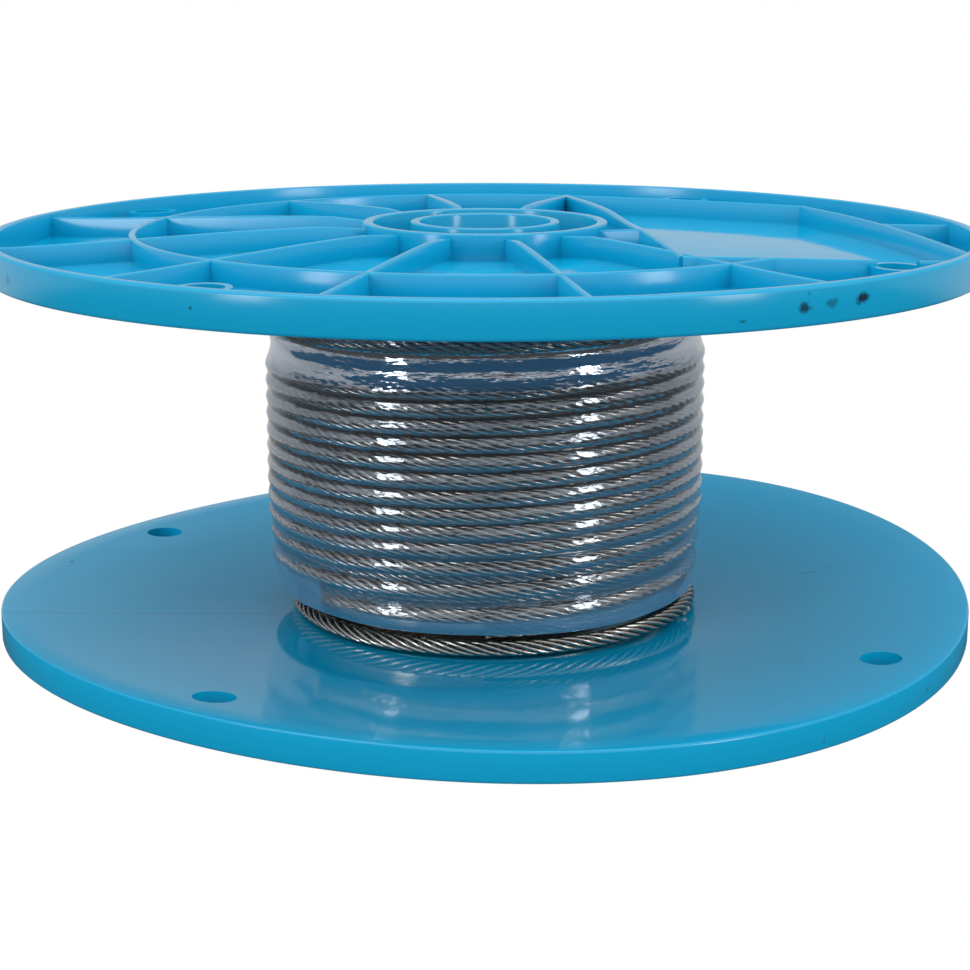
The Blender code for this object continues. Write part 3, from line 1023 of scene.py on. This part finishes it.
    def build(self, finish: ShrinkFilmFinish) -> list[bpy.types.Object]:
        """Build the sleeve and its folded corner.

        Args:
            finish: The film.

        Returns:
            The film's pieces.
        """
        film = finish.make()
        pieces = [self.sleeve(), self.folded_tab()]
        for piece in pieces:
            piece.data.materials.append(film)
        return pieces


@dataclass
class Studio:
    """White table-top studio: two soft boxes, an overhead, a white sweep and a camera."""

    distance: float = 0.4463
    height: float = 0.1406
    dip: float = 13.41
    lens: float = 77.4
    front_low: float = 0.05
    front_high: float = 1.10
    back_low: float = 0.52
    back_high: float = 0.28
    fill: float = 1.36
    floor_fill: float = 0.42
    floor_front: float = 0.06
    floor_back: float = 0.60
    box_power: float = 1.7
    top_power: float = 6.0

    def soft_box(self, name: str, at: Point3, size: Point2, power: float) -> None:
        """Hang a rectangular light that looks at the reel."""
        lamp = bpy.data.lights.new(name, "AREA")
        lamp.shape, lamp.size, lamp.size_y, lamp.energy = "RECTANGLE", size[0], size[1], power
        obj = bpy.data.objects.new(name, lamp)
        obj.location = at
        obj.rotation_euler = (Vector((0, 0, 0.045)) - Vector(at)).to_track_quat("-Z", "Y").to_euler()
        bpy.context.scene.collection.objects.link(obj)

    def by_ray(self, tree: bpy.types.NodeTree, fill: float,
               shine: bpy.types.NodeSocket | float) -> bpy.types.NodeSocket:
        """Choose a strength by ray: white to the camera, one level for fill light, one for reflections."""
        ray = add(tree, "ShaderNodeLightPath").outputs
        lit = ranged(tree, ray["Is Glossy Ray"], low=fill, high=shine)
        return ranged(tree, ray["Is Camera Ray"], low=lit)

    def floor(self) -> None:
        """Lay the white floor: pure white in the picture, as in the photo, and less so as a light."""
        half = 40.0
        floor = mesh_object("floor", [(-half, -half, -0.0005), (half, -half, -0.0005), (half, half, -0.0005),
                                      (-half, half, -0.0005)], [(0, 1, 2, 3)])
        mat = bpy.data.materials.new("white_sweep")
        mat.use_nodes = True
        tree = mat.node_tree
        shader = tree.nodes["Principled BSDF"]
        shader.inputs["Base Color"].default_value = (0.0, 0.0, 0.0, 1.0)
        shader.inputs["Roughness"].default_value = 1.0
        shader.inputs["Specular IOR Level"].default_value = 0.0
        shader.inputs["Emission Color"].default_value = (1.0, 1.0, 1.0, 1.0)
        place = add(tree, "ShaderNodeTexCoord").outputs["Object"]
        behind = add(tree, "ShaderNodeSeparateXYZ", {0: place}).outputs["Y"]
        shine = ranged(tree, behind, 0.06, 0.22, low=self.floor_front, high=self.floor_back)
        tree.links.new(self.by_ray(tree, self.floor_fill, shine), shader.inputs["Emission Strength"])
        floor.data.materials.append(mat)

    def surround(self) -> None:
        """Set the white surround: bright behind the reel, dimmer on the camera's side."""
        world = bpy.data.worlds.new("white_surround")
        world.use_nodes = True
        tree = world.node_tree
        back = tree.nodes["Background"]
        back.inputs["Color"].default_value = (1.0, 1.0, 1.0, 1.0)
        way = add(tree, "ShaderNodeTexCoord").outputs["Generated"]
        part = add(tree, "ShaderNodeSeparateXYZ", {0: way}).outputs
        back_sky = ranged(tree, part["Z"], 0.10, 0.30, low=self.back_low, high=self.back_high)
        front_sky = ranged(tree, part["Z"], 0.03, 0.28, low=self.front_low, high=self.front_high)
        side = ranged(tree, part["Y"], -0.5, 0.5, low=front_sky, high=back_sky)
        tree.links.new(self.by_ray(tree, self.fill, side), back.inputs["Strength"])
        bpy.context.scene.world = world

    def camera(self) -> None:
        """Set the camera where the photo was taken from."""
        cam = bpy.data.cameras.new("camera")
        cam.lens, cam.sensor_width, cam.shift_y = self.lens, 36.0, -0.0021
        cam.clip_start = 0.01
        obj = bpy.data.objects.new("camera", cam)
        obj.location = (0, -self.distance, self.height)
        obj.rotation_euler = (math.radians(90 - self.dip), 0, 0)
        bpy.context.scene.collection.objects.link(obj)
        bpy.context.scene.camera = obj

    def build(self) -> None:
        """Set the camera, the lights and the white surround."""
        self.camera()
        self.soft_box("left_box", (-0.82, -0.70, 0.32), (0.20, 0.40), self.box_power)
        self.soft_box("right_box", (0.85, -0.66, 0.32), (0.20, 0.40), self.box_power)
        self.soft_box("overhead", (0.0, 0.1, 1.3), (1.4, 1.4), self.top_power)
        self.surround()
        bpy.context.scene.view_settings.view_transform = "Standard"
        self.floor()


def main() -> None:
    """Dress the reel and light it."""
    logging.basicConfig(level=logging.INFO, format="%(name)s: %(message)s")
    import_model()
    Studio().build()
    shape = FlangeShape()
    spool = Spool(shape).build(MouldedPlastic())
    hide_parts("spool")
    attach(spool, "root")
    winding = Winding(shape)
    for piece in WoundRope(winding).build(DrawnSteel()):
        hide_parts("wire_rope")
        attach(piece, "root")
        LOG.info("%s: %d faces", piece.name, len(piece.data.polygons))
    for piece in FilmSleeve(winding).build(ShrinkFilmFinish()):
        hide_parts("shrink_film")
        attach(piece, "root")
        LOG.info("%s: %d faces", piece.name, len(piece.data.polygons))


if __name__ == "__main__":
    main()
